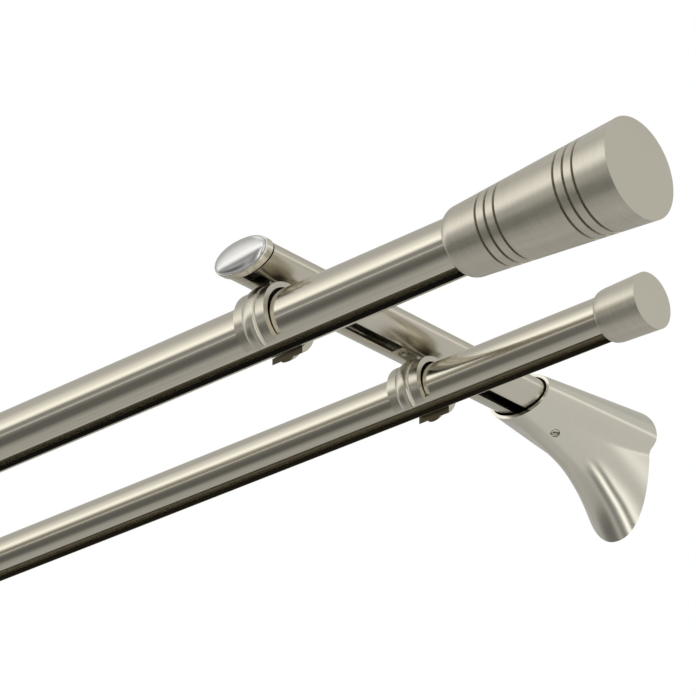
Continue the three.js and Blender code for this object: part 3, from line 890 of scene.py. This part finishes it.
# ---- wall foot and plate
@dataclass
class WallFoot:
    """The cast foot: an oval socket for the arm that flares into a tongue on the wall."""

    length: float = 69.0 * MM
    mouth_width: float = 17.35 * MM
    mouth_height: float = 9.85 * MM
    socket_width: float = 15.9 * MM
    socket_height: float = 8.4 * MM
    socket_depth: float = 48.0 * MM
    half_width: float = 25.2 * MM
    upper: float = 19.2 * MM
    lower: float = 11.1 * MM
    drop: float = 3.7 * MM
    tongue: float = 20.5 * MM
    arm_height: float = 17.0 * MM
    tip: float = -32.6 * MM
    shell: float = 3.0 * MM
    pocket: float = 9.5 * MM
    plate: float = 3.0 * MM
    crease: float = 0.7 * MM
    crease_fade: float = 3.0 * MM
    tongue_root: float = 0.8
    tongue_roundness: float = 2.2
    lead: float = 1.0 * MM
    screw_hole: float = 2.2 * MM
    lock_hole: Station = (20.0 * MM, 60.0 * MM)
    edge_round: float = 0.45 * MM
    socket_sides: int = 128
    bore_sides: int = 32
    stations: int = 44
    outline_steps: int = 56
    underside: tuple[Station, ...] = (
        (0, 0), (0.22, 0.08), (0.44, 0.21), (0.64, 0.36), (0.84, 0.65), (1, 1))

    def drop_share(self, t: float) -> float:
        """The share of the underside's whole drop that is reached at a share t of the length."""
        points = self.underside
        spans = len(points) - 1

        def on_curve(u: float, axis: int) -> float:
            """One coordinate of the smooth curve through the points, at a share of its spans."""
            i = min(int(u * spans), spans - 1)
            s = u * spans - i
            p = [points[max(0, min(spans, i + k))][axis] for k in (-1, 0, 1, 2)]
            v0, v1 = (p[2] - p[0]) / 2, (p[3] - p[1]) / 2
            return ((2 * p[1] - 2 * p[2] + v0 + v1) * s ** 3
                    + (-3 * p[1] + 3 * p[2] - 2 * v0 - v1) * s ** 2 + v0 * s + p[1])

        low, high = 0.0, 1.0
        for _ in range(30):
            middle = (low + high) / 2
            if on_curve(middle, 0) < t:
                low = middle
            else:
                high = middle
        return on_curve(low, 1)

    def section(self, t: float, inset: float) -> Outline:
        """One upright outline, from the mouth at t = 0 to the wall at t = 1, drawn inset."""
        def mix(a: float, b: float, share: float) -> float:
            """A value between two others."""
            return a + (b - a) * share

        width = mix(self.mouth_width, self.half_width, t ** 0.9) - inset
        upper = mix(self.mouth_height, self.upper, t) - inset
        lower = mix(self.mouth_height, self.lower, t) - inset
        centre = self.arm_height - self.drop * t
        tongue = mix(self.tongue_root * self.mouth_width, self.tongue, t ** 3) - inset
        hang = mix(self.arm_height - self.mouth_height, self.tip, self.drop_share(t))
        tip = min(hang + inset, centre - lower)
        power = self.tongue_roundness
        right = []
        for i in range(self.outline_steps + 1):
            z = mix(tip, centre + upper, (1 - math.cos(math.pi * i / self.outline_steps)) / 2)
            share = min(1.0, abs(z - centre) / (upper if z > centre else lower))
            body = width * math.sqrt(1 - share * share)
            below = min(1.0, (centre - z) / (centre - tip)) if z < centre else 1.0
            flap = tongue * max(0.0, 1 - below ** power) ** (1 / power)
            soft = self.crease * min(1.0, body / self.crease_fade, flap / self.crease_fade)
            soft = soft if z < centre else 0.0
            right.append(((body + flap + math.hypot(body - flap, soft)) / 2, z))
        left = [(-x, z) for x, z in reversed(right[1:-1])]
        return [*right, *left]

    def loft(self, name: str, x: float, rings: Sequence[tuple[float, Outline]]) -> Workpiece:
        """Extrudes an outline through places along Y and moves each new outline's corners home.

        Args:
            name: The piece's name.
            x: The bracket's middle.
            rings: Places along Y with their outlines, all with as many corners.

        Returns:
            The closed loft.
        """
        first = rings[0][0]
        piece = Workpiece.disc(name, Axis.Y, Vector((x, first, 0)), Axis.Y.across(MM),
                               len(rings[0][1]))
        for number, (y, outline) in enumerate(rings):
            if number:
                piece.extrude(Vector((0, y - rings[number - 1][0], 0)))
            self._send_home(piece, x, y, outline)
        piece.tidy()
        return piece

    @staticmethod
    def _send_home(piece: Workpiece, x: float, y: float, outline: Outline) -> None:
        """Moves the selected ring's corners, in order round the ring, to an outline."""
        mesh = bmesh.from_edit_mesh(piece.object.data)
        start = next(face for face in mesh.faces if face.select)
        ring = [loop.vert for loop in start.loops]
        lowest = min(range(len(ring)), key=lambda i: (ring[i].co.z, abs(ring[i].co.x - x)))
        ring = ring[lowest:] + ring[:lowest]
        if ring[1].co.x < ring[-1].co.x:
            ring = [ring[0], *reversed(ring[1:])]
        for vertex, (across, z) in zip(ring, outline):
            vertex.co = (x + across, y, z)
        bmesh.update_edit_mesh(piece.object.data)

    def screw_bore(self, piece: Workpiece, screw: str, low: float, high: float) -> None:
        """Drills an upright hole on a screw's own axis, from one height to another."""
        start = box_middle(screw)
        start.z = low
        piece.drill(Axis.Z, start, Axis.Z.across(self.screw_hole), high - low, self.bore_sides)

    def build(self, side: Side) -> Workpiece:
        """Models the foot on one side.

        Args:
            side: The bracket that it carries.

        Returns:
            The finished foot.
        """
        node = side.node("wall_foot")
        low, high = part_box(node)
        x = (low.x + high.x) / 2
        rings = [(-self.length * (1 - i / self.stations), self.section(i / self.stations, 0.0))
                 for i in range(self.stations + 1)]
        piece = self.loft(f"{node}_casting", x, rings)
        outline = self.section(1 - self.pocket / self.length, self.shell)
        piece.cut(self.loft("pocket", x, [(-self.pocket, outline), (self.lead, outline)]))
        mouth = Vector((x, -self.length - self.lead, self.arm_height))
        piece.drill(Axis.Y, mouth, Axis.Y.across(self.socket_width, self.socket_height),
                    self.socket_depth + self.lead, self.socket_sides)
        self.screw_bore(piece, side.node("arm_set_screw"), self.tip, self.arm_height)
        self.screw_bore(piece, side.node("foot_lock_screw"), *self.lock_hole)
        piece.soften(self.edge_round, segments=3, angle=42.0)
        return piece


@dataclass
class WallPlate(WallFoot):
    """The steel plate that is screwed to the wall inside the foot, with its lug."""

    gap: float = 0.3 * MM
    hole_radius: float = 2.6 * MM
    hole_offset: float = 13.0 * MM
    hole_back: float = 0.5 * MM
    countersink: float = 4.6 * MM
    countersink_from: float = -1.2 * MM
    countersink_to: float = -3.2 * MM
    lug_half: float = 6.0 * MM
    lug_height: float = 8.0 * MM
    lug_back: float = -1.5 * MM
    lug_below: float = 2.5 * MM
    tapped_depth: float = 6.4 * MM
    hole_sides: int = 48
    edge_round: float = 0.3 * MM

    def build(self, side: Side) -> Workpiece:
        """Models the plate on one side.

        Args:
            side: The bracket that it holds.

        Returns:
            The finished plate.
        """
        node = side.node("wall_plate")
        low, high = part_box(node)
        x = (low.x + high.x) / 2
        outline = self.section(1 - self.pocket / self.length, self.shell + self.gap)
        piece = self.loft(f"{node}_steel", x, [(-self.plate, outline), (0.0, outline)])
        top = self.arm_height - self.drop + self.upper - self.shell - self.lug_below
        piece.join(Workpiece.block("lug", (x - self.lug_half, low.y, top - self.lug_height),
                                   (x + self.lug_half, self.lug_back, top)))
        path = [(self.hole_back, self.hole_radius), (self.countersink_from, self.hole_radius),
                (self.countersink_to, self.countersink)]
        for z in (self.hole_offset, -self.hole_offset):
            bit = Workpiece.disc("bit", Axis.Y, Vector((x, self.hole_back, z)),
                                 Axis.Y.across(self.hole_radius), self.hole_sides)
            bit.turn(Axis.Y, Vector((x, 0, z)), path)
            bit.tidy()
            piece.cut(bit)
        self.screw_bore(piece, side.node("foot_lock_screw"), top - self.tapped_depth, top + self.lead)
        piece.soften(self.edge_round)
        return piece


# ---- screws
@dataclass
class GrubScrew:
    """A threaded screw with no head and a hexagon socket in one end."""

    node: str
    axis: Axis
    socket_sign: int
    radius: float = 2.0 * MM
    pitch: float = 0.7 * MM
    thread: float = 0.22 * MM
    across_flats: float = 2.0 * MM
    socket_depth: float = 1.6 * MM
    socket_lead: float = 0.5 * MM
    chamfer: float = 0.35 * MM
    lead: float = 0.3 * MM
    tail: float = 0.4 * MM
    point: float = 0.5 * MM
    edge_round: float = 0.06 * MM
    sides: int = 32

    def build(self) -> Workpiece:
        """Models the screw where its node is.

        Returns:
            The finished screw.
        """
        low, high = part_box(self.node)
        i, unit = self.axis.value, self.axis.unit
        length = high[i] - low[i]
        origin = box_middle(self.node)
        origin[i] = high[i] if self.socket_sign > 0 else low[i]
        path = [(0.0, self.radius - self.chamfer), (self.lead, self.radius)]
        place = self.lead
        while place + self.pitch < length - self.tail:
            path += [(place + self.pitch / 2, self.radius - self.thread),
                     (place + self.pitch, self.radius)]
            place += self.pitch
        path.append((length, self.radius - self.point))
        piece = Workpiece.disc(f"{self.node}_steel", self.axis, origin,
                               self.axis.across(path[0][1]), self.sides)
        piece.turn(self.axis, origin, path, sign=-self.socket_sign)
        piece.tidy()
        start = origin + unit * self.socket_sign * self.socket_lead
        piece.drill(self.axis, start, self.axis.across(self.across_flats / math.sqrt(3)),
                    -self.socket_sign * (self.socket_depth + self.socket_lead), 6)
        piece.soften(self.edge_round, segments=1, angle=50.0)
        return piece

    def fit(self, body: str) -> None:
        """Models the screw and hangs it on a body."""
        self.build().fit(body, self.node, Finishes.SCREW_STEEL)


# ---- assembly
@dataclass
class Bracket:
    """One wall bracket: foot, plate, arm, cap, ring holders and their screws."""

    side: Side
    foot: WallFoot = field(default_factory=WallFoot)
    plate: WallPlate = field(default_factory=WallPlate)
    cap: ArmCap = field(default_factory=ArmCap)
    disc: CapDisc = field(default_factory=CapDisc)
    front: RingHolder = field(default_factory=lambda: RingHolder("front_holder", 12.5 * MM, 1))
    rear: RingHolder = field(default_factory=lambda: RingHolder("rear_holder", 10.0 * MM, -1))

    def build(self) -> None:
        """Models and fits every piece of the bracket."""
        # dark is the near black painted shade, for the arm's inner skin and the cap's recess behind its
        # rim.
        cast, dark = Finishes.SATIN_CASTING, Finishes.DARK_BORE
        self._fit(self.foot, "wall_foot", "wall", cast)
        self._fit(self.plate, "wall_plate", "wall", Finishes.ZINC_PLATE)
        arm = self.side.node("arm")
        BracketArm(node=arm).build().fit(arm, arm, Finishes.DRAWN_ARM_NICKEL, dark)
        cap = self.side.node("arm_cap")
        self._fit(self.cap, "arm_cap", cap, cast, dark)
        self._fit(self.disc, "cap_disc", cap, Finishes.POLISHED_CHROME)
        for holder in (self.front, self.rear):
            body = self.side.node(holder.stem)
            # The bore and the legs' cut ends get the ring's painted shade.
            self._fit(holder, holder.stem, body, Finishes.RING_NICKEL, Finishes.RING_BORE)
            self._screw(holder.stem.replace("holder", "clamp_screw"), body, -1)
        self._screw("arm_set_screw", self.side.node("set_screw"), -1)
        self._screw("foot_lock_screw", "wall", 1)

    def _fit(self, maker: WallFoot | ArmCap | RingHolder, stem: str, body: str,
             *finishes: MetalFinish) -> None:
        """Models one piece and hangs it on its body."""
        maker.build(self.side).fit(body, self.side.node(stem), *finishes)

    def _screw(self, stem: str, body: str, socket_sign: int) -> None:
        """Models and fits one upright grub screw."""
        GrubScrew(self.side.node(stem), Axis.Z, socket_sign).fit(body)


@dataclass
class RodSet:
    """Both rods with their finials and end caps."""

    rods: tuple[TrackRod, TrackRod] = (
        TrackRod("front_rod", 12.5 * MM, 7.6 * MM),
        TrackRod("rear_rod", 10.0 * MM, 8.5 * MM, bore=Finishes.BROWN_BORE))
    finial: EndPiece = field(default_factory=lambda: EndPiece(
        "finial", 12.5 * MM, 15.1 * MM, 21.4 * MM,
        grooves=tuple((first + 5 * i) * MM for first in (20.0, 61.8) for i in range(3))))
    end_cap: EndPiece = field(default_factory=lambda: EndPiece(
        "end_cap", 10.0 * MM, 11.9 * MM, 12.6 * MM))

    def build(self) -> None:
        """Models and fits every piece of the rods."""
        for rod in self.rods:
            # Each rod's inside and turned-in lips get its bore's painted shade.
            rod.build().fit(rod.node, rod.node, Finishes.DRAWN_NICKEL, rod.bore)
        for side in Side:
            for end in (self.finial, self.end_cap):
                # The grooves' floors get a painted shade.
                body = side.node(end.stem)
                end.build(side).fit(body, body, Finishes.TURNED_NICKEL, Finishes.FACED_NICKEL,
                                    Finishes.GROOVE_NICKEL)
                GrubScrew(side.node(f"{end.stem}_screw"), Axis.Y, 1).fit(body)


# ---- studio
@dataclass
class Studio:
    """A pale floor, a soft studio and the camera.

    Each row of panels holds places and brightnesses. The panels on the left go round the line of
    the rods, by their angle in degrees from straight ahead. The strips low in front go along X,
    and the open side goes up Z, both from -1 to 1.
    """

    floor_at: Triple = (-0.4, -0.2, -0.95)
    floor_radius: float = 1.25
    floor_thickness: float = 0.02
    floor_sides: int = 128
    lamp_at: Triple = (-0.4, -0.3, 2.6)
    lamp_aim: Triple = (0.0, -0.2, 0.0)
    lamp_size: tuple[float, float] = (2.6, 1.6)
    lamp_watts: float = 6.0
    camera_at: Triple = (0.8428, -1.1019, -0.6344)
    camera_turn: Triple = (116.93, 0.0, 42.57)
    lens: float = 168.4
    sensor: float = 36.0
    panel_scale: float = 2.0
    panels: tuple[Station, ...] = (
        (-180, 0.48), (-145, 0.44), (-115, 0.54), (-92, 0.50), (-66, 0.47), (-46, 0.14), (-26, 0.15),
        (-13, 0.28), (-10, 1.10), (-7, 0.36), (8, 0.26), (17, 1.50), (26, 1.50), (34, 1.20),
        (48, 0.92), (66, 0.60), (100, 0.52), (145, 0.55), (180, 0.48))
    strips: tuple[Station, ...] = (
        (-1.0, 0.4), (-0.56, 0.24), (-0.44, 0.60), (-0.34, 0.50), (-0.18, 0.20), (0.04, 0.42),
        (0.15, 1.80), (0.27, 1.50), (0.36, 0.26), (0.52, 0.24), (0.64, 1.50), (0.80, 1.0), (1.0, 0.5))
    open_side: tuple[Station, ...] = (
        (-1.0, 0.66), (-0.12, 0.67), (0.04, 0.82), (0.16, 1.15), (0.26, 0.95), (0.36, 0.66),
        (1.0, 0.64))
    above_edge: Station = (-0.10, 0.15)
    front_edge: Station = (-0.12, 0.40)
    right_edge: Station = (-0.56, -0.40)
    above_lean: float = 0.75

    def floor(self) -> None:
        """Lays the round floor, which the metal doesn't mirror: the long panels do that."""
        piece = Workpiece.disc("floor", Axis.Z, Vector(self.floor_at),
                               Axis.Z.across(self.floor_radius), self.floor_sides)
        piece.extrude(Vector((0, 0, -self.floor_thickness)))
        piece.tidy()
        made = bpy.data.materials.new("pale_floor")
        made.use_nodes = True
        shop = Shader(made.node_tree)
        cloud = shop.grain((3.0, 3.0, 3.0))
        colour = shop.blend(cloud, rgba(0.80, 0.80, 0.79), rgba(0.86, 0.86, 0.85))
        surface = shop.node("ShaderNodeBsdfPrincipled", None, {"Base Color": colour, "Roughness": 0.7})
        shop.node("ShaderNodeOutputMaterial", None, {"Surface": surface})
        piece.object.data.materials.append(made)
        piece.object.visible_glossy = False

    def overhead(self) -> None:
        """Hangs the one soft rectangular light."""
        data = bpy.data.lights.new("overhead", "AREA")
        data.shape = "RECTANGLE"
        data.size, data.size_y = self.lamp_size
        data.energy = self.lamp_watts
        lamp = bpy.data.objects.new("overhead", data)
        lamp.location = self.lamp_at
        aim = Vector(self.lamp_aim) - Vector(self.lamp_at)
        lamp.rotation_euler = aim.to_track_quat("-Z", "Y").to_euler()
        lamp.visible_camera = False
        bpy.context.scene.collection.objects.link(lamp)

    def bands(self, shop: Shader, ray: Wire) -> Wire:
        """The studio's long panels.

        Args:
            shop: The world's node tree.
            ray: The direction looked in.

        Returns:
            The colour seen in that direction.
        """
        x, y, z = (shop.node("ShaderNodeSeparateXYZ", None, {0: ray}, axis) for axis in "XYZ")
        ahead = 0 - y
        angle = shop.node("ShaderNodeMath", {"operation": "ARCTAN2"}, {0: z, 1: ahead})
        above = self.step(shop, z, self.above_edge)
        front = self.step(shop, ahead, self.front_edge) * (1 - above)
        right = self.step(shop, x - self.above_lean * above, self.right_edge)
        right_side = shop.blend(front, self.ramp(shop, z, self.open_side),
                                self.ramp(shop, x, self.strips))
        return shop.blend(right, self.ramp(shop, angle, self.panels, math.pi, 180.0), right_side)

    @staticmethod
    def ramp(shop: Shader, value: Wire, row: Sequence[Station], limit: float = 1.0,
             row_limit: float = 1.0) -> Wire:
        """Lays a row of panels along a value.

        Args:
            shop: The world's node tree.
            value: What decides the place in the row.
            row: The panels' places and brightnesses.
            limit: The value's largest size.
            row_limit: The largest size of a place in the row.

        Returns:
            The colour at the value's place.
        """
        stops = [((at + row_limit) / (2 * row_limit), warm(glow)) for at, glow in row]
        return shop.node("ShaderNodeValToRGB", {"stops": stops}, {0: value * (0.5 / limit) + 0.5})

    @staticmethod
    def step(shop: Shader, value: Wire, edge: Station) -> Wire:
        """A soft step from 0 at an edge's low value to 1 at its high one."""
        return shop.node("ShaderNodeMapRange", {"interpolation_type": "SMOOTHSTEP"},
                         {0: value, 1: edge[0], 2: edge[1]})

    def world(self) -> None:
        """Surrounds the object with a soft studio of pale panels, on white."""
        world = bpy.data.worlds.new("studio")
        world.use_nodes = True
        bpy.context.scene.world = world
        shop = Shader(world.node_tree)
        ray = shop.node("ShaderNodeTexCoord", output="Generated")
        seen = shop.node("ShaderNodeBackground", None, {"Color": rgba(1, 1, 1), "Strength": 1.0})
        lit = shop.node("ShaderNodeBackground", None,
                        {"Color": self.bands(shop, ray), "Strength": self.panel_scale})
        camera = shop.node("ShaderNodeLightPath", output="Is Camera Ray")
        surface = shop.node("ShaderNodeMixShader", None, {0: camera, 1: lit, 2: seen})
        shop.node("ShaderNodeOutputWorld", None, {"Surface": surface})

    def camera(self) -> None:
        """Sets up the camera, low at the right and looking up."""
        data = bpy.data.cameras.new("camera")
        data.lens = self.lens
        data.sensor_width = self.sensor
        camera = bpy.data.objects.new("camera", data)
        camera.location = self.camera_at
        camera.rotation_euler = [math.radians(angle) for angle in self.camera_turn]
        bpy.context.scene.collection.objects.link(camera)
        bpy.context.scene.camera = camera

    def build(self) -> None:
        """Sets up the floor, the light, the world and the camera."""
        bpy.context.scene.view_settings.view_transform = "Standard"
        self.floor()
        self.world()
        self.overhead()
        self.camera()


def main() -> None:
    """Builds the set and the studio."""
    logging.basicConfig(level=logging.INFO, format="%(name)s %(message)s")
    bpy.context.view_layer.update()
    RodSet().build()
    for side in Side:
        Bracket(side).build()
    Studio().build()
    bpy.context.view_layer.update()


if __name__ == "__main__":
    main()
